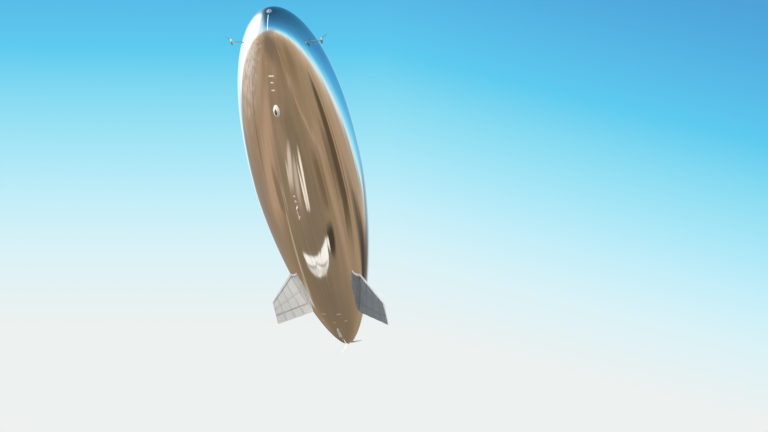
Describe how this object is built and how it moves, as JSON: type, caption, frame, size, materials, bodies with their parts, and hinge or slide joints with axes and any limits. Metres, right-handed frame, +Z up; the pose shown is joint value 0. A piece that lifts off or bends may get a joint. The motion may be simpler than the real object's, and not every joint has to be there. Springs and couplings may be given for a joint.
{
  "type": "solar-electric high-altitude airship, 1:2 scale model",
  "caption": "Streamlined silver airship with tail fins and hinged rudders, a tail pusher propeller, nose outrigger propellers and a keel equipment pod.",
  "frame": {"origin": "on the envelope's axis, 15 m behind its nose at this scale and within 0.4 m of its centre of volume, where the air carries it", "axes": "+X along the axis to the nose, +Y to port, +Z up"},
  "size_m": [32.7303, 8.3588, 8.8297],
  "materials": {
    "metallised_film": "silver metallised laminate, welded in lengthwise gores",
    "fin_fabric": "taut coated fabric over a frame",
    "white_composite": "white gel coat over composite",
    "blade_composite": "pale satin composite",
    "machined_alloy": "machined and anodised",
    "load_patch": "white bonded reinforcement fabric",
    "dark_glass": "dark sensor window",
    "solar_cells": "thin flexible solar cells under clear film"
  },
  "bodies": {
    "airship": {"envelope": "metallised_film", "nose_plate": "white_composite", "nose_spindle": "machined_alloy", "fin_top": "fin_fabric", "fin_port": "fin_fabric", "fin_starboard": "fin_fabric", "tail_cone": "metallised_film", "tail_motor": "machined_alloy", "outrigger_port": "blade_composite", "motor_pod_port": "white_composite", "outrigger_starboard": "blade_composite", "motor_pod_starboard": "white_composite", "gondola_flange": "white_composite", "gondola_shell": "white_composite", "sensor_ball": "dark_glass", "keel_patch_1": "load_patch", "keel_patch_2": "load_patch", "keel_patch_3": "load_patch", "keel_vent_1": "load_patch", "keel_vent_2": "load_patch", "tail_patch_1": "load_patch", "tail_patch_2": "load_patch", "tail_patch_3": "load_patch", "tail_patch_4": "load_patch", "tail_patch_5": "load_patch", "keel_boom": "white_composite", "tail_fairing": "white_composite", "solar_port_1": "solar_cells", "solar_starboard_1": "solar_cells", "solar_port_2": "solar_cells", "solar_starboard_2": "solar_cells"},
    "rudder_top": {"rudder_top": "fin_fabric"},
    "rudder_port": {"rudder_port": "fin_fabric"},
    "rudder_starboard": {"rudder_starboard": "fin_fabric"},
    "tail_propeller": {"tail_spinner": "white_composite", "tail_blade_1": "blade_composite", "tail_blade_2": "blade_composite", "tail_blade_3": "blade_composite"},
    "port_propeller": {"spinner_port": "white_composite", "blade_port_1": "blade_composite", "blade_port_2": "blade_composite"},
    "starboard_propeller": {"spinner_starboard": "white_composite", "blade_starboard_1": "blade_composite", "blade_starboard_2": "blade_composite"}
  },
  "joints": [
    {"name": "rudder_top_hinge", "type": "hinge", "parent": "airship", "child": "rudder_top", "pos_m": [-11.9, 0, 3.6], "axis": [0, 0, 1], "range_deg": [-25, 25]},
    {"name": "rudder_port_hinge", "type": "hinge", "parent": "airship", "child": "rudder_port", "pos_m": [-11.9, 3.11769, -1.8], "axis": [0, 0.866, -0.5], "range_deg": [-25, 25]},
    {"name": "rudder_starboard_hinge", "type": "hinge", "parent": "airship", "child": "rudder_starboard", "pos_m": [-11.9, -3.11769, -1.8], "axis": [0, 0.866, 0.5], "range_deg": [-25, 25]},
    {"name": "tail_propeller_spin", "type": "hinge", "parent": "airship", "child": "tail_propeller", "pos_m": [-17.425, 0, 0], "axis": [1, 0, 0], "continuous": true},
    {"name": "port_propeller_spin", "type": "hinge", "parent": "airship", "child": "port_propeller", "pos_m": [12.525, 3.075, 0], "axis": [1, 0, 0], "continuous": true},
    {"name": "starboard_propeller_spin", "type": "hinge", "parent": "airship", "child": "starboard_propeller", "pos_m": [12.525, -3.075, 0], "axis": [1, 0, 0], "continuous": true}
  ]
}
